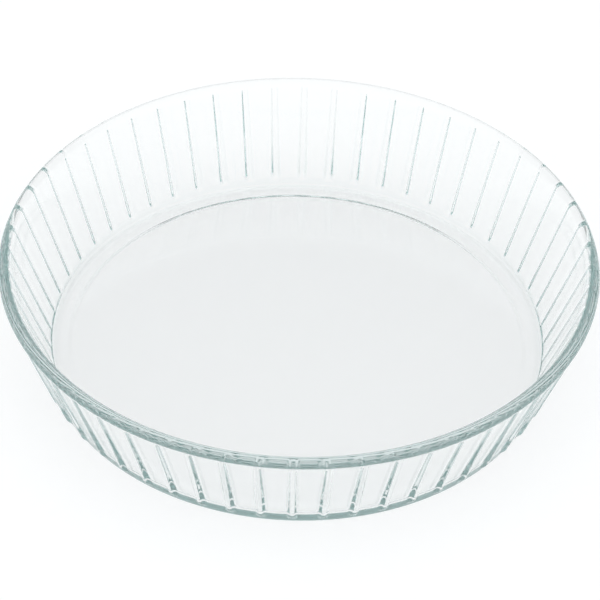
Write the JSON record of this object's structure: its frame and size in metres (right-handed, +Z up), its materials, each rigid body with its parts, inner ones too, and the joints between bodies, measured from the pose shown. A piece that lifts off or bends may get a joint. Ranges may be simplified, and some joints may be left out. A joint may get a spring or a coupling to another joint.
{
  "type": "glass cake dish",
  "caption": "Round clear glass baking dish with upright ribs round its slanting wall, a thick rolled rim and a flat floor.",
  "frame": {"origin": "centre of the base, in the plane of the foot ring", "axes": "+Z up through the open top, along the axis of the dish; +X to the right and -Y to the front; the middle of one rib lies on -Y"},
  "size_m": [0.26, 0.26, 0.052],
  "materials": {
    "glass": "clear pressed glass, fire polished"
  },
  "bodies": {
    "root": {"dish": "glass"}
  },
  "joints": []
}
